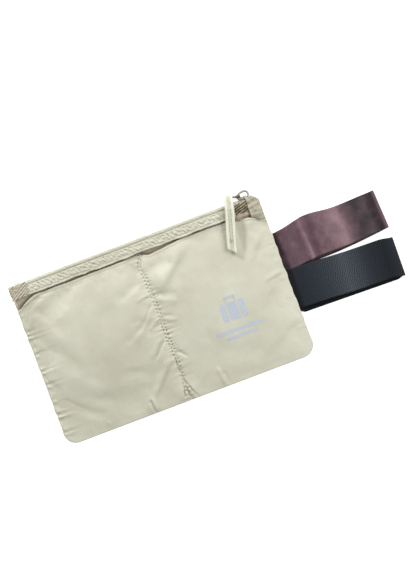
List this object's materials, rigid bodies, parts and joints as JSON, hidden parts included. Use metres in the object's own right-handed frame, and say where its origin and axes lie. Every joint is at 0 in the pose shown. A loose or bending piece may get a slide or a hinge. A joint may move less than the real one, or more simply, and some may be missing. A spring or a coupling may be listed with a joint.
{
  "type": "travel pouch",
  "caption": "Flat zipped fabric pouch with a divided slip pocket in front and two folded webbing loops at one side for a belt.",
  "frame": {"origin": "centre of the back panel's outer face, on the surface that the pouch lies on", "axes": "+X along the zip towards the belt loops, +Y towards the zip, +Z out of the front pocket"},
  "size_m": [0.2705, 0.128, 0.0124],
  "materials": {
    "pouch_fabric": "light satin sheen, fine plain weave",
    "lining_fabric": "matte, fine plain weave",
    "zip_tape": "woven tape with ribs",
    "zip_coil": "moulded nylon coil",
    "zip_metal": "worn gunmetal",
    "binding_tape": "woven binding",
    "thread": "polyester thread",
    "satin_thread": "polyester thread",
    "elastic_thread": "polyester thread",
    "print_ink": "flat screen print",
    "puller_fabric": "folded strip, soft sheen",
    "puller_thread": "polyester thread",
    "satin_webbing": "satin face with a soft sheen",
    "elastic_webbing": "matte herringbone weave"
  },
  "bodies": {
    "pouch": {"back_panel": "pouch_fabric", "front_panel": "lining_fabric", "pocket_panel": "pouch_fabric", "zip_facing": "pouch_fabric", "zip_corner_fold": "pouch_fabric", "zip_end_tab": "zip_tape", "zip_front_tape": "zip_tape", "zip_back_tape": "zip_tape", "zip_front_coil": "zip_coil", "zip_back_coil": "zip_coil", "zip_bottom_stop": "zip_metal", "zip_top_stop": "zip_metal", "left_seam_binding": "binding_tape", "right_seam_binding": "binding_tape", "bottom_seam_binding": "binding_tape", "left_seam_stitching": "thread", "right_seam_stitching": "thread", "bottom_seam_stitching": "thread", "divider_stitching": "thread", "hem_stitching": "thread", "zip_front_stitching": "thread", "zip_back_stitching": "thread", "satin_bartack": "satin_thread", "elastic_bartack": "elastic_thread", "printed_emblem": "print_ink"},
    "slider": {"slider_body": "zip_metal"},
    "pull_tab": {"pull_tab": "zip_metal"},
    "puller": {"puller_strip": "puller_fabric", "puller_stitching": "puller_thread"},
    "satin_loop": {"satin_loop": "satin_webbing"},
    "elastic_loop": {"elastic_loop": "elastic_webbing"}
  },
  "joints": [
    {"name": "zip_slide", "type": "slide", "parent": "pouch", "child": "slider", "axis": [-1, 0, 0], "range_m": [0, 0.167]},
    {"name": "tab_swing", "type": "hinge", "parent": "slider", "child": "pull_tab", "pos_m": [0.0828, 0.0631, 0.0034], "axis": [0, 0, -1], "range_deg": [-8, 115]},
    {"name": "puller_flop", "type": "hinge", "parent": "pull_tab", "child": "puller", "pos_m": [0.07558, 0.06512, 0.0057], "axis": [-0.9632, 0.2689, 0], "range_deg": [0, 100]},
    {"name": "satin_loop_fold", "type": "hinge", "parent": "pouch", "child": "satin_loop", "pos_m": [0.0969, 0.0156, 0.0007], "axis": [0.0471, -0.9989, 0], "range_deg": [-90, 90]},
    {"name": "elastic_loop_fold", "type": "hinge", "parent": "pouch", "child": "elastic_loop", "pos_m": [0.0969, -0.0142, 0.0007], "axis": [-0.0244, -0.9997, 0], "range_deg": [-90, 90]}
  ]
}
